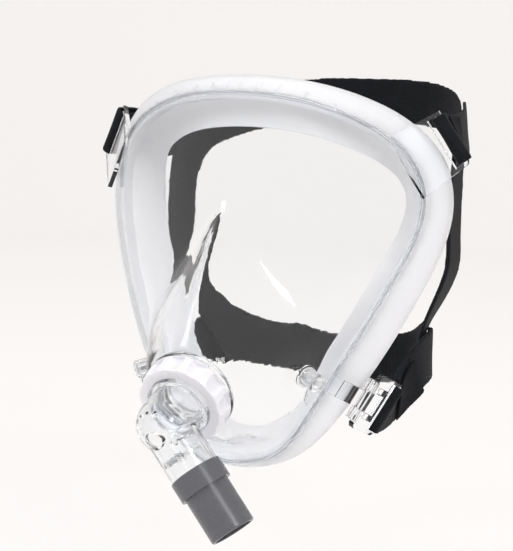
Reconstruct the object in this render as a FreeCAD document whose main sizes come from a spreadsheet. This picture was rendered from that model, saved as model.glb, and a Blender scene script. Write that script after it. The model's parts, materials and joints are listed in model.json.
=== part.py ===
import FreeCAD, Part
import math
import os
import Sketcher

# Total-face respiratory mask with swivel elbow, hose connector and headgear.
# Millimetres. X to the wearer's left, -Y to the front, +Z up.
# The origin is the middle of the face opening, where the face holds the mask.

V = FreeCAD.Vector
ZERO = V(0, 0, 0)
AXIS_X = V(1, 0, 0)
AXIS_Y = V(0, 1, 0)
AXIS_Z = V(0, 0, 1)

# Driving sizes
SIZES = {
    # Window rim
    "rim_wrap": 39.5,
    "rim_chin_set": 4.4,
    "window_crown": 5.0,
    "shell": 2.2,
    "flange_depth": 8.0,
    # Port in the prow of the window
    "port_back": -36.0,
    "port_height": -57.0,
    "port_tilt": 27.0,
    "spigot_r": 17.6,
    "spigot_wall": 2.8,
    "spigot_top": 4.6,
    "lug_reach": 1.2,
    "lug_low": 1.7,
    "lug_high": 3.4,
    "prow_apex": 34.0,
    "prow_spread": 0.74,
    # Cushion
    "cushion_wall": 2.0,
    "lip_reach": 17.0,
    # Locking ring
    "ring_skirt": 2.4,
    "ring_taper": 1.2,
    "ring_height": 9.6,
    "ring_wall": 2.3,
    "scallops": 12,
    # Seal between port and elbow
    "seal_thick": 0.7,
    # Elbow
    "elbow_turn": 40.0,
    "elbow_bend": 70.0,
    "corner_height": 24.0,
    "skirt_gap": 0.08,
    "skirt_low": -3.0,
    "elbow_flange_set": 0.4,
    "elbow_flange": 1.8,
    "elbow_flange_step": 1.7,
    "collar_top": 12.6,
    "collar_wall": 2.1,
    "outlet_r": 11.9,
    "outlet_length": 25.0,
    "outlet_pin_set": 0.7,
    "outlet_pin_wall": 1.3,
    "outlet_pin": 9.0,
    "vent_r": 4.4,
    # Grey hose connector
    "snap_room": 0.45,
    "connector_collar_wall": 1.0,
    "connector_collar": 10.0,
    "connector_r": 11.0,
    "connector_wall": 1.8,
    "connector_length": 22.7,
    # Valve flap
    "flap_room": 2.6,
    "flap_below": 1.2,
    "hinge_set": 2.7,
    "flap_thick": 0.9,
    "flap_station": 16.5,
    # Pressure ports
    "nipple_r": 2.9,
    "nipple_wall": 1.3,
    "nipple_length": 8.0,
    "cap_wall": 2.1,
    # Straps
    "strap_width": 25.0,
    "strap_thick": 1.6,
    # Fits
    "running_gap": 0.06,
    "soft_gap": 0.3,
}

# Radii that follow other sizes
FOLLOWING = {
    "port_bore": "spigot_r - spigot_wall",
    "ring_inner_r": "spigot_r + lug_reach + soft_gap",
    "ring_r": "ring_inner_r + ring_skirt",
    "ring_front_r": "ring_r - ring_taper",
    "skirt_r": "port_bore - skirt_gap",
    "elbow_flange_r": "spigot_r - elbow_flange_set",
    "collar_r": "elbow_flange_r - elbow_flange_step",
    "dome_r": "collar_r - collar_wall",
    "outlet_pin_r": "outlet_r - outlet_pin_set",
    "elbow_bore": "outlet_pin_r - outlet_pin_wall",
    "hinge_y": "elbow_bore - hinge_set",
    "flap_r": "elbow_bore - flap_room",
    "flap_reach": "hinge_y + flap_below",
    "connector_collar_r": "outlet_pin_r + snap_room + connector_collar_wall",
    "connector_bore": "connector_r - connector_wall",
    "nipple_bore": "nipple_r - nipple_wall",
    "cap_r": "nipple_r + cap_wall",
}

# Half outline of the window, top centre to chin centre:
# across, height, cushion flare, cushion depth.
RIM = [
    (0.0, 84.3, 8.0, 13.3),
    (33.1, 81.0, 8.5, 13.7),
    (58.6, 71.2, 9.6, 15.0),
    (77.7, 54.0, 9.6, 17.5),
    (83.5, 27.0, 8.8, 18.3),
    (74.0, -2.0, 9.8, 20.0),
    (58.3, -34.5, 9.8, 21.5),
    (41.3, -64.9, 8.4, 20.0),
    (24.8, -88.0, 4.6, 16.0),
    (0.0, -94.6, 3.4, 13.4),
]
for _i, _row in enumerate(RIM):
    for _name, _value in zip(("across", "height", "flare", "depth"), _row):
        SIZES["rim_%s_%s" % (_name, "abcdefghij"[_i])] = _value

doc = FreeCAD.newDocument("mask")
sheet = doc.addObject("Spreadsheet::Sheet", "Sizes")
for _n, (_alias, _value) in enumerate(SIZES.items(), start=1):
    sheet.set("A%d" % _n, _alias)
    sheet.set("B%d" % _n, str(_value))
    sheet.setAlias("B%d" % _n, _alias)
doc.recompute()


def size(name):
    if name in FOLLOWING:
        return amount(FOLLOWING[name])
    return float(sheet.get(name))


parts = []


def amount(text):
    # The value of a sum of sheet names and numbers, such as "collar_r + 0.5".
    total = 0.0
    sign = 1
    for word in str(text).split():
        if word in "+-":
            sign = 1 if word == "+" else -1
        else:
            total += sign * (size(word) if word[0].isalpha() else float(word))
    return total


def formula(text):
    words = []
    for word in str(text).split():
        if word in FOLLOWING:
            word = "(" + formula(FOLLOWING[word]) + ")"
        elif word[0].isalpha():
            word = "Sizes." + word
        words.append(word)
    return " ".join(words)


def origin_plane(body, role):
    return [f for f in body.Origin.OriginFeatures if f.Role == role][0]


def new_body(name, placement):
    body = doc.addObject("PartDesign::Body", name)
    body.Placement = placement
    return body


def bind(sketch, kind, first, second, text):
    # A dimension of a sketch that follows the sheet.
    if second is None:
        k = sketch.addConstraint(Sketcher.Constraint(kind, first, amount(text)))
    else:
        k = sketch.addConstraint(Sketcher.Constraint(kind, first[0], first[1], second[0], second[1], amount(text)))
    if any(w[0].isalpha() for w in str(text).split()):
        sketch.setExpression("Constraints[%d]" % k, formula(text))


def outline(body, name, role, points):
    # A closed outline whose every corner is placed by the sheet.
    sketch = body.newObject("Sketcher::SketchObject", name)
    sketch.AttachmentSupport = [(origin_plane(body, role), "")]
    sketch.MapMode = "FlatFace"
    places = [V(amount(x), amount(y), 0) for x, y in points]
    for a, b in zip(places, places[1:] + places[:1]):
        sketch.addGeometry(Part.LineSegment(a, b), False)
    for k in range(len(places)):
        sketch.addConstraint(Sketcher.Constraint("Coincident", k, 2, (k + 1) % len(places), 1))
    for k, (x, y) in enumerate(points):
        bind(sketch, "DistanceX", (-1, 1), (k, 1), x)
        bind(sketch, "DistanceY", (-1, 1), (k, 1), y)
    return sketch


def disc(body, name, role, x, y, radius):
    sketch = body.newObject("Sketcher::SketchObject", name)
    sketch.AttachmentSupport = [(origin_plane(body, role), "")]
    sketch.MapMode = "FlatFace"
    sketch.addGeometry(Part.Circle(V(amount(x), amount(y), 0), AXIS_Z, amount(radius)), False)
    bind(sketch, "DistanceX", (-1, 1), (0, 3), x)
    bind(sketch, "DistanceY", (-1, 1), (0, 3), y)
    bind(sketch, "Radius", 0, None, radius)
    return sketch


def turned(body, name, profile):
    # A profile of radius and height turned about the body's Z axis.
    sketch = outline(body, name + "_profile", "XZ_Plane", profile)
    turn = body.newObject("PartDesign::Revolution", name)
    turn.Profile = sketch
    turn.ReferenceAxis = (sketch, ["V_Axis"])
    turn.Angle = 360
    sketch.Visibility = False
    doc.recompute()
    return turn


def padded(body, name, sketch, length, centred=False, reverse=False):
    pad = body.newObject("PartDesign::Pad", name)
    pad.Profile = sketch
    pad.Length = amount(length)
    pad.setExpression("Length", formula(length))
    pad.Midplane = centred
    pad.Reversed = reverse
    doc.recompute()
    return pad


def pocketed(body, name, sketch, length=None, centred=True, reverse=False):
    pocket = body.newObject("PartDesign::Pocket", name)
    pocket.Profile = sketch
    if length is None:
        pocket.Type = "ThroughAll"
    else:
        pocket.Length = amount(length)
        pocket.setExpression("Length", formula(length))
    pocket.Midplane = centred
    pocket.Reversed = reverse
    doc.recompute()
    return pocket


def repeated(body, name, source, sketch, count, whole=360):
    pattern = body.newObject("PartDesign::PolarPattern", name)
    pattern.Originals = [source]
    pattern.Axis = (sketch, ["N_Axis"])
    pattern.Angle = whole
    pattern.Occurrences = int(count)
    body.Tip = pattern
    doc.recompute()
    return pattern


def finish(obj, name):
    obj.Label = name
    parts.append(obj)
    return obj


def feature(name, shape, placement=None):
    obj = doc.addObject("Part::Feature", name)
    obj.Shape = shape
    if placement is not None:
        obj.Placement = placement
    return finish(obj, name)


# Frames of the port, the elbow and its outlet
PORT = FreeCAD.Placement(
    V(0, size("port_back"), size("port_height")),
    FreeCAD.Rotation(AXIS_X, 90 + size("port_tilt")),
)
ELBOW = PORT.multiply(FreeCAD.Placement(ZERO, FreeCAD.Rotation(AXIS_Z, size("elbow_turn"))))
OUTLET = ELBOW.multiply(
    FreeCAD.Placement(V(0, 0, size("corner_height")), FreeCAD.Rotation(AXIS_X, size("elbow_bend")))
)


# Closed smooth curves and surfaces round the rim
def cyclic(points, i):
    return points[i % len(points)]


def poles_through(points):
    poles = list(points)
    for _ in range(40):
        step = [
            (cyclic(poles, i - 1) + cyclic(poles, i) * 4 + cyclic(poles, i + 1)) * (1 / 6.0)
            for i in range(len(poles))
        ]
        poles = [q + (p - s) for q, p, s in zip(poles, points, step)]
    return poles


def on_curve(poles, t):
    i = int(math.floor(t))
    f = t - i
    a, b, c, d = (cyclic(poles, i + k) for k in (-1, 0, 1, 2))
    return (
        a * ((1 - f) ** 3 / 6)
        + b * ((3 * f ** 3 - 6 * f ** 2 + 4) / 6)
        + c * ((-3 * f ** 3 + 3 * f ** 2 + 3 * f + 1) / 6)
        + d * (f ** 3 / 6)
    )


def ring_surface(rings, degree):
    # One closed band: rings are lists of points round the mask, passed through at each point.
    columns = [poles_through(r) for r in rings]
    count = len(columns[0])
    poles = [[col[i] for col in columns] for i in range(count)]
    spans = len(rings) - degree
    u_knots = list(range(count + 1))
    v_knots = list(range(spans + 1))
    v_mults = [degree + 1] + [1] * (spans - 1) + [degree + 1]
    surface = Part.BSplineSurface()
    surface.buildFromPolesMultsKnots(
        poles, [1] * (count + 1), v_mults, u_knots, v_knots, True, False, 3, degree
    )
    return surface


def solid_of(surfaces):
    shell = Part.Shell([s.toShape() for s in surfaces])
    shell.sewShape()
    solid = Part.Solid(Part.Shell(shell.Faces))
    if solid.Volume < 0:
        solid.reverse()
    return solid


# Stations round the rim
STATIONS = 36


def rim_table():
    half = []
    for key in "abcdefghij":
        half.append([size("rim_%s_%s" % (n, key)) for n in ("across", "height", "flare", "depth")])
    other = [[-r[0]] + r[1:] for r in half[1:-1][::-1]]
    rows = half + other
    plan = poles_through([V(r[0], 0, r[1]) for r in rows])
    band = poles_through([V(r[2], r[3], 0) for r in rows])
    return plan, band, len(rows)


def rim_stations():
    # Points of the outline seen from the port, spread between even angle and even length.
    plan, band, count = rim_table()
    steps = 720
    fine = [on_curve(plan, count * k / steps) for k in range(steps)]
    lengths = [0.0]
    angles = [0.0]
    for k in range(1, steps + 1):
        a, b = fine[k - 1], fine[k % steps]
        lengths.append(lengths[-1] + (b - a).Length)
        turn = math.atan2(b.x, b.z - size("port_height")) % (2 * math.pi)
        angles.append(turn if k < steps else 2 * math.pi)
    mix = [
        0.55 * s / lengths[-1] + 0.45 * a / (2 * math.pi) for s, a in zip(lengths, angles)
    ]
    found = []
    k = 0
    for n in range(STATIONS):
        want = n / STATIONS
        while mix[k + 1] < want:
            k += 1
        part = (want - mix[k]) / (mix[k + 1] - mix[k])
        t = count * (k + part) / steps
        found.append((on_curve(plan, t), on_curve(band, t)))
    return found


STATION = rim_stations()
HALF_WIDTH = max(p.x for p, b in STATION)
CHIN = min(p.z for p, b in STATION)


def wrap(x, z):
    back = size("rim_wrap") * (abs(x) / HALF_WIDTH) ** 2.1
    low = max(0.0, min(1.0, z / CHIN))
    return back + size("rim_chin_set") * low * low * (3 - 2 * low)


RIM_POINTS = [V(p.x, wrap(p.x, p.z), p.z) for p, b in STATION]


def rim_normal(i):
    step = cyclic(RIM_POINTS, i + 1) - cyclic(RIM_POINTS, i - 1)
    return V(-step.z, 0, step.x).normalize()


NORMALS = [rim_normal(i) for i in range(STATIONS)]
ANGLES = [
    math.atan2(p.x, p.z - size("port_height")) % (2 * math.pi) for p in RIM_POINTS
]


def rim_ring(out, back):
    # The rim moved outward in the plan and back along the depth.
    return [p + n * out + V(0, back, 0) for p, n in zip(RIM_POINTS, NORMALS)]


def band_ring(flare, depth, out=0.0, back=0.0):
    # A ring placed by fractions of the cushion's flare and depth.
    ring = []
    for (p, b), q, n in zip(STATION, RIM_POINTS, NORMALS):
        ring.append(q + n * (b.x * flare + out) + V(0, b.y * depth + back, 0))
    return ring


def port_ring(radius, height):
    local = [V(radius * math.sin(a), radius * math.cos(a), height) for a in ANGLES]
    return [PORT.multVec(p) for p in local]


def visor_point(i, share):
    # Point on the wrapped visor, at a share of the way from the port centre to the rim.
    p = RIM_POINTS[i]
    x = p.x * share
    z = size("port_height") + (p.z - size("port_height")) * share
    crown = size("window_crown") * (1 - share * share)
    return V(x, wrap(x, z) - crown, z)


def foot_share(i):
    # Where the prow runs out into the visor.
    a = ANGLES[i]
    p = RIM_POINTS[i]
    reach = math.hypot(p.x, p.z - size("port_height"))
    spread = size("prow_spread")
    rise = size("prow_apex") - size("port_height")
    line = abs(math.sin(a)) + spread * math.cos(a)
    share = spread * rise / line / reach if line > 0.05 else 0.86
    share = min(share, 2.0)
    limit = 0.86
    return (share ** -6 + limit ** -6) ** (-1 / 6.0)


def between(a, b, t):
    return a * (1 - t) + b * t


def window_rings():
    inner = port_ring(size("spigot_r") + 0.9, -3.2)
    shoulder = port_ring(size("spigot_r") + 3.6, -2.8)
    shoulder_out = port_ring(size("spigot_r") + 6.5, -5.0)
    foot = [visor_point(i, foot_share(i)) for i in range(STATIONS)]
    flank = [between(a, b, 0.45) + V(0, -2.5, 0) for a, b in zip(shoulder_out, foot)]
    flank_low = [between(a, b, 0.86) for a, b in zip(shoulder_out, foot)]
    beyond = [visor_point(i, 0.75 * foot_share(i) + 0.25) for i in range(STATIONS)]
    near = [visor_point(i, 0.3 * foot_share(i) + 0.7) for i in range(STATIONS)]
    return [inner, shoulder, shoulder_out, flank, flank_low, foot, beyond, near, rim_ring(0, 0)]


def inside_of(rings):
    # The same rings moved one wall thickness along the inward normal.
    wall = size("shell")
    moved = []
    for j, ring in enumerate(rings):
        new = []
        for i, p in enumerate(ring):
            along = cyclic(ring, i + 1) - cyclic(ring, i - 1)
            before = rings[max(j - 1, 0)][i]
            after = rings[min(j + 1, len(rings) - 1)][i]
            normal = along.cross(after - before).normalize()
            if normal.y < 0:
                normal = normal * -1
            new.append(p + normal * wall)
        moved.append(new)
    return moved


# Faceplate
def faceplate_shell():
    front = window_rings()
    back = inside_of(front)
    depth = size("flange_depth")
    wall = size("shell")
    edge_in = back[-1]
    outer_end = rim_ring(0.6, depth)
    inner_end = rim_ring(0.6 - wall, depth)
    back[-1] = [V(p.x, max(p.y, q.y + 1.2), p.z) for p, q in zip(edge_in, front[-1])]
    faces = [
        ring_surface(front, 3),
        ring_surface([front[-1], outer_end], 1),
        ring_surface([outer_end, inner_end], 1),
        ring_surface([inner_end, back[-1]], 1),
        ring_surface(back, 3),
        ring_surface([back[0], front[0]], 1),
    ]
    return solid_of(faces), ring_surface(front, 3)


def cylinder(radius, low, high, frame):
    shape = Part.makeCylinder(radius, high - low, V(0, 0, low))
    return shape.transformed(frame.toMatrix())


def mirrored(shape):
    return shape.mirror(ZERO, AXIS_X)


def frame_on(origin, axis, across):
    # A placement whose Z is the axis and whose X lies near the direction given.
    z = V(axis).normalize()
    x = (V(across) - z * V(across).dot(z)).normalize()
    y = z.cross(x)
    m = FreeCAD.Matrix(x.x, y.x, z.x, origin.x, x.y, y.y, z.y, origin.y, x.z, y.z, z.z, origin.z, 0, 0, 0, 1)
    return FreeCAD.Placement(m)


shell, front_surface = faceplate_shell()


def prism(points, low, high, frame):
    # A straight block over a closed outline drawn in the frame's X and Y.
    wire = Part.makePolygon([V(x, y, low) for x, y in points + points[:1]])
    block = Part.Face(wire).extrude(V(0, 0, high - low))
    return block.transformed(frame.toMatrix())


# Port spigot with its bayonet lugs
def port_spigot():
    body = cylinder(size("spigot_r"), -7.0, size("spigot_top"), PORT)
    body = body.fuse(cylinder(size("spigot_r") + 4.0, -4.6, -0.4, PORT))
    lug_ring = cylinder(size("spigot_r") + size("lug_reach"), size("lug_low"), size("lug_high"), PORT)
    for k in range(3):
        wedge = Part.makeCylinder(30, 20, V(0, 0, -5), AXIS_Z, 40)
        wedge.rotate(ZERO, AXIS_Z, 120 * k - 20)
        body = body.fuse(lug_ring.common(wedge.transformed(PORT.toMatrix())))
    return body


def port_opening():
    return cylinder(size("port_bore"), -30.0, 20.0, PORT)


# Upper strap ears: flat plates off the temples with a strap slot
EAR_BAR = V(94, 55, 60.5)
EAR_ROOT = V(79.6, 35.0, 50.6)
EAR_ALONG = V(0.48, 0.24, -0.84)
EAR_OUT = (EAR_BAR - EAR_ROOT).normalize()
EAR_REACH = (EAR_BAR - EAR_ROOT).Length
EAR_FACE = EAR_ALONG.cross(EAR_OUT).normalize()
EAR = frame_on(EAR_ROOT + EAR_FACE * -0.4, EAR_FACE, EAR_ALONG)


def ear_relief():
    # The room that the cushion leaves round each ear plate.
    spare = size("soft_gap")
    end = EAR_REACH + 1.6 + spare
    return prism([(-17.2, -4), (17.2, -4), (15.2, end), (-15.2, end)], -1.1 - spare, 1.1 + spare, EAR)


def ear_plate():
    reach = EAR_REACH
    plate = prism([(-16.5, -3.2), (16.5, -3.2), (14.6, reach + 1.6), (-14.6, reach + 1.6)], -1.1, 1.1, EAR)
    corners = [e for e in plate.Edges if e.Length < 2.21 and e.CenterOfMass.distanceToPoint(EAR_BAR) < 17]
    plate = plate.makeFillet(2.5, corners)
    slot = prism([(-13.4, reach - 6.6), (13.4, reach - 6.6), (12.9, reach - 1.5), (-12.9, reach - 1.5)], -4, 4, EAR)
    return plate.cut(slot)


# Lower hook arms: a cranked arm over the cushion with a round hook bar
HOOK_ALONG = V(0.46, 0.22, 0.86).normalize()
HOOK_SIDE = V(0.86, 0.0, -0.46).normalize()
HOOK_BAR = V(57.4, 35.0, -62.6)
HOOK_RIM = V(45.6, 13.6, -57.6)
HOOK_ROOT = HOOK_RIM + HOOK_ALONG * (HOOK_BAR - HOOK_RIM).dot(HOOK_ALONG)
HOOK_BAR_R = 1.6
HOOK_HALF = 11.0


def hook_arm():
    out = (HOOK_SIDE - HOOK_ALONG * HOOK_SIDE.dot(HOOK_ALONG)).normalize()
    frame = frame_on(HOOK_ROOT, HOOK_ALONG, out)
    back = frame.Rotation.multVec(AXIS_Y)
    tip = frame.inverse().multVec(HOOK_BAR)
    sign = 1 if back.y > 0 else -1
    x, y = tip.x, tip.y * sign
    outline = [
        (-2.2, -0.4), (-0.6, -2.2), (6.2, 1.4), (x + 1.4, y - 0.6), (x + 0.4, y + 1.2),
        (x - 1.4, y + 0.2), (4.8, 4.2), (0.4, 2.6),
    ]
    arm = prism([(a, b * sign) for a, b in outline], -4.5, 4.5, frame)
    bar = Part.makeCylinder(HOOK_BAR_R, 2 * HOOK_HALF, HOOK_BAR - HOOK_ALONG * HOOK_HALF, HOOK_ALONG)
    return arm.fuse(bar)


# Pressure ports on the flanks of the prow
def flank_frame():
    best = None
    for u in range(0, STATIONS * 4):
        for v in range(0, 24):
            p = front_surface.value(u / 4.0, v / 4.0)
            gap = math.hypot(p.x - 40.5, p.z + 50.0)
            if best is None or gap < best[0]:
                best = (gap, u / 4.0, v / 4.0, p)
    _, u, v, p = best
    n = front_surface.normal(u, v)
    if n.y > 0:
        n = n * -1
    return frame_on(p, n, V(0, 0, -1))


NIPPLE = flank_frame()


def nipple():
    tube = cylinder(size("nipple_r"), -1.4, size("nipple_length"), NIPPLE)
    return tube.fuse(cylinder(size("cap_r") + 0.6, -1.6, 0.7, NIPPLE))


def faceplate():
    body = shell.fuse(port_spigot())
    for extra in (ear_plate(), hook_arm(), nipple()):
        body = body.fuse(extra).fuse(mirrored(extra))
    body = body.cut(port_opening())
    bore = cylinder(size("nipple_bore"), -8, 20, NIPPLE)
    body = body.cut(bore).cut(mirrored(bore))
    return body.removeSplitter()


plate = faceplate()
feature("faceplate", plate)


# Silicone cushion: a bead on the flange, a flared skirt and an inturned sealing lip
def cushion():
    lip = size("lip_reach")
    wall = size("cushion_wall")
    bead = size("flange_depth") + 2.4
    outer = [
        rim_ring(0.95, 3.4),
        band_ring(0.16, 0.0, 0.6, 5.6),
        band_ring(0.5, 0.5, 0.3, 0.6),
        band_ring(0.88, 0.8),
        band_ring(1.04, 1.0, 0, 0.6),
        band_ring(0.85, 1.0, 0, 4.8),
        band_ring(0.2, 1.0, 0, 7.6),
        band_ring(0, 1.0, -lip * 0.5, 7.2),
        band_ring(0, 1.0, -lip, 3.6),
    ]
    inner = [
        band_ring(0, 1.0, -lip + 0.3, 2.7),
        band_ring(0, 1.0, -lip * 0.6, 5.0),
        band_ring(0.1, 1.0, -1.4, 5.8),
        band_ring(0.55, 1.0, -0.9, 3.9),
        band_ring(1.0, 1.0, -wall, 0.0),
        band_ring(0.8, 0.7, -wall + 0.1, bead * 0.3),
        band_ring(0.4, 0.3, -0.7, bead * 0.7),
        rim_ring(0.5, bead),
    ]
    hook = [rim_ring(-1.3, bead), rim_ring(-1.3, bead - 2.1), rim_ring(0.95, bead - 2.1), rim_ring(0.56, 3.6)]
    faces = [
        ring_surface(outer, 3),
        ring_surface([outer[-1], inner[0]], 1),
        ring_surface(inner, 3),
        ring_surface([inner[-1], hook[0]], 1),
        ring_surface([hook[0], hook[1]], 1),
        ring_surface([hook[1], hook[2]], 1),
        ring_surface([hook[2], hook[3]], 1),
        ring_surface([hook[3], outer[0]], 1),
    ]
    return solid_of(faces)


relief = ear_relief()
feature("face_cushion", cushion().cut(relief).cut(mirrored(relief)))


# Retaining ring that clamps the cushion bead against the flange
def loop_solid(rings):
    return solid_of([ring_surface([a, b], 1) for a, b in zip(rings, rings[1:] + rings[:1])])


def retainer():
    depth = size("flange_depth")
    outline = [(-1.95, 4.4), (-1.95, depth + 2.7), (-0.3, depth + 2.7), (-0.3, depth + 4.1), (-3.6, depth + 4.1), (-3.6, 4.4)]
    return loop_solid([rim_ring(u, w) for u, w in outline])


feature("cushion_retainer", retainer())


# Locking ring: scalloped grip, turned-in front, three bayonet lugs
def lock_ring():
    body = new_body("lock_ring", PORT)
    turned(body, "ring_wall_turned", [
        ("ring_r", "-0.34"),
        ("ring_r", "2.2"),
        ("ring_front_r + 0.8", "ring_height - 1.4"),
        ("ring_front_r - 0.2", "ring_height"),
        ("collar_r + running_gap", "ring_height"),
        ("collar_r + running_gap", "ring_height - ring_wall"),
        ("ring_inner_r", "ring_height - ring_wall"),
        ("ring_inner_r", "-0.34"),
    ])
    grip = disc(body, "grip_circle", "XY_Plane", "ring_r + 5.3", "0", "7")
    cut = pocketed(body, "grip", grip, "ring_height + 1", centred=False, reverse=True)
    repeated(body, "grips", cut, grip, size("scallops"))
    lug = outline(body, "lug_outline", "XY_Plane", [
        ("spigot_r + 0.12", "-5"),
        ("ring_inner_r + 0.6", "-5"),
        ("ring_inner_r + 0.6", "5"),
        ("spigot_r + 0.12", "5"),
    ])
    pad = padded(body, "lug", lug, "lug_low - 0.1")
    repeated(body, "lugs", pad, lug, 3)
    finish(body, "lock_ring")


lock_ring()


# Seal between the spigot and the elbow flange
def port_seal():
    body = new_body("port_seal", PORT)
    turned(body, "seal", [
        ("port_bore + 0.15", "spigot_top + 0.02"),
        ("spigot_r - 0.4", "spigot_top + 0.02"),
        ("spigot_r - 0.4", "spigot_top + seal_thick"),
        ("port_bore + 0.15", "spigot_top + seal_thick"),
    ])
    finish(body, "port_seal")


port_seal()


# Swivel elbow: skirt, flange, collar, domed corner, outlet tube and snap pin
FLANGE_LOW = size("spigot_top") + size("seal_thick") + 0.02
FLANGE_TOP = FLANGE_LOW + size("elbow_flange")
CORNER = V(0, 0, size("corner_height"))
BEND = FreeCAD.Placement(CORNER, FreeCAD.Rotation(AXIS_X, size("elbow_bend")))


def round_bar(name, radius, low, high, frame=None):
    bar = doc.addObject("Part::Cylinder", name)
    bar.setExpression("Radius", formula(radius))
    bar.setExpression("Height", formula(high) + " - (" + formula(low) + ")")
    base = FreeCAD.Placement(V(0, 0, amount(low)), FreeCAD.Rotation())
    bar.Placement = base if frame is None else frame.multiply(base)
    return bar


def ball(name, radius):
    item = doc.addObject("Part::Sphere", name)
    item.setExpression("Radius", formula(radius))
    item.Placement = FreeCAD.Placement(CORNER, FreeCAD.Rotation())
    return item


def block(name, x, y, z, low, frame):
    item = doc.addObject("Part::Box", name)
    item.Length, item.Width, item.Height = x, y, z
    item.Placement = frame.multiply(FreeCAD.Placement(low, FreeCAD.Rotation()))
    return item


HINGE_Y = size("hinge_y")
HINGE_EAR = (3.4, 4.9)


def elbow():
    station = size("flap_station")
    flange_low = "spigot_top + seal_thick + 0.02"
    solids = [
        round_bar("skirt", "skirt_r", "skirt_low", flange_low),
        round_bar("elbow_flange_disc", "elbow_flange_r", flange_low, flange_low + " + elbow_flange"),
        round_bar("collar", "collar_r", flange_low, "collar_top"),
        round_bar("neck", "dome_r", "collar_top", "corner_height"),
        ball("dome", "dome_r"),
        round_bar("outlet", "outlet_r", "0", "outlet_length", BEND),
        round_bar("outlet_pin_turned", "outlet_pin_r", "0", "outlet_length + outlet_pin", BEND),
        round_bar("outlet_bead", "outlet_pin_r + 0.35", "outlet_length + 5", "outlet_length + 6.2", BEND),
    ]
    outside = doc.addObject("Part::MultiFuse", "elbow_outside")
    outside.Shapes = solids
    hollows = [
        round_bar("neck_bore", "dome_r - 1.8", "skirt_low - 1", "corner_height"),
        ball("dome_bore", "dome_r - 1.8"),
        round_bar("outlet_bore", "elbow_bore - 0.4", "0", "outlet_length + outlet_pin + 1", BEND),
    ]
    forward = BEND.multiply(FreeCAD.Placement(V(0, 0, 5.0), FreeCAD.Rotation(AXIS_X, -90)))
    hollows.append(round_bar("air_window", "vent_r", "8", "20", forward))
    for k in range(7):
        turn = FreeCAD.Placement(ZERO, FreeCAD.Rotation(AXIS_Z, -66 + 22 * k))
        tilt = FreeCAD.Placement(ZERO, FreeCAD.Rotation(AXIS_X, -58))
        lean = FreeCAD.Placement(CORNER, FreeCAD.Rotation()).multiply(turn).multiply(tilt)
        hollows.append(round_bar("vent_hole", "0.8", "dome_r - 4.4", "dome_r + 2.6", lean))
    inside = doc.addObject("Part::MultiFuse", "elbow_inside")
    inside.Shapes = hollows
    hollow = doc.addObject("Part::Cut", "elbow_hollow")
    hollow.Base, hollow.Tool = outside, inside
    low, high = HINGE_EAR
    ears = [
        block("hinge_ear", high - low, 4.2, 3.2, V(x, HINGE_Y - 1.4, station - 1.6), BEND)
        for x in (low, -high)
    ]
    with_ears = doc.addObject("Part::MultiFuse", "elbow_with_ears")
    with_ears.Shapes = [hollow] + ears
    across = BEND.multiply(FreeCAD.Placement(V(0, HINGE_Y, station), FreeCAD.Rotation(AXIS_Y, 90)))
    bore = round_bar("hinge_bore", "0.93", "-4.75", "4.75", across)
    drilled = doc.addObject("Part::Cut", "elbow")
    drilled.Base, drilled.Tool = with_ears, bore
    doc.recompute()
    drilled.Placement = ELBOW
    finish(drilled, "elbow")


elbow()


# Anti-asphyxia valve: a silicone flap hung on a pin across the outlet
FLAP = OUTLET.multiply(FreeCAD.Placement(V(0, HINGE_Y, size("flap_station")), FreeCAD.Rotation()))


def valve():
    body = new_body("valve_flap", FLAP)
    plate_outline = outline(body, "flap_outline", "XY_Plane", [
        ("-3.0", "-0.9"),
        ("-3.1", "-2.0"),
        ("0 - flap_r", "3.0 - flap_reach"),
        ("0 - flap_r", "0 - flap_reach"),
        ("flap_r", "0 - flap_reach"),
        ("flap_r", "3.0 - flap_reach"),
        ("3.1", "-2.0"),
        ("3.0", "-0.9"),
    ])
    padded(body, "flap_root", plate_outline, "flap_thick", centred=True)
    tip = disc(body, "flap_disc_outline", "XY_Plane", "0", "0 - flap_reach", "flap_r")
    padded(body, "flap_disc", tip, "flap_thick", centred=True)
    roll = disc(body, "roll_outline", "YZ_Plane", "0", "0", "1.5")
    padded(body, "roll", roll, "6.6", centred=True)
    hole = disc(body, "roll_hole", "YZ_Plane", "0", "0", "0.97")
    pocketed(body, "roll_bore", hole, "20")
    finish(body, "valve_flap")
    pin = new_body("valve_pin", FLAP)
    round_outline = disc(pin, "pin_outline", "YZ_Plane", "0", "0", "0.9")
    padded(pin, "pin", round_outline, "9.4", centred=True)
    finish(pin, "valve_pin")


valve()


# Grey hose connector that snaps over the outlet pin
def connector():
    body = new_body("tube_connector", OUTLET)
    turned(body, "connector", [
        ("connector_collar_r - 0.4", "outlet_length + 0.1"),
        ("connector_collar_r", "outlet_length + 0.6"),
        ("connector_collar_r", "outlet_length + connector_collar"),
        ("connector_r", "outlet_length + connector_collar"),
        ("connector_r", "outlet_length + connector_collar + connector_length - 0.6"),
        ("connector_r - 0.5", "outlet_length + connector_collar + connector_length"),
        ("connector_bore", "outlet_length + connector_collar + connector_length"),
        ("connector_bore", "outlet_length + outlet_pin + 0.3"),
        ("outlet_pin_r + running_gap", "outlet_length + outlet_pin + 0.3"),
        ("outlet_pin_r + running_gap", "outlet_length + 6.3"),
        ("outlet_pin_r + snap_room", "outlet_length + 6.3"),
        ("outlet_pin_r + snap_room", "outlet_length + 4.9"),
        ("outlet_pin_r + running_gap", "outlet_length + 4.9"),
        ("outlet_pin_r + running_gap", "outlet_length + 0.1"),
    ])
    finish(body, "tube_connector")


connector()


# Frames repeated on the wearer's right
def mirror_frame(frame, keep):
    z = frame.Rotation.multVec(AXIS_Z)
    near = frame.Rotation.multVec(keep)
    z = V(-z.x, z.y, z.z)
    near = V(-near.x, near.y, near.z)
    if keep == AXIS_Y:
        near = near.cross(z)
    base = V(-frame.Base.x, frame.Base.y, frame.Base.z)
    return frame_on(base, z, near)


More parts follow.
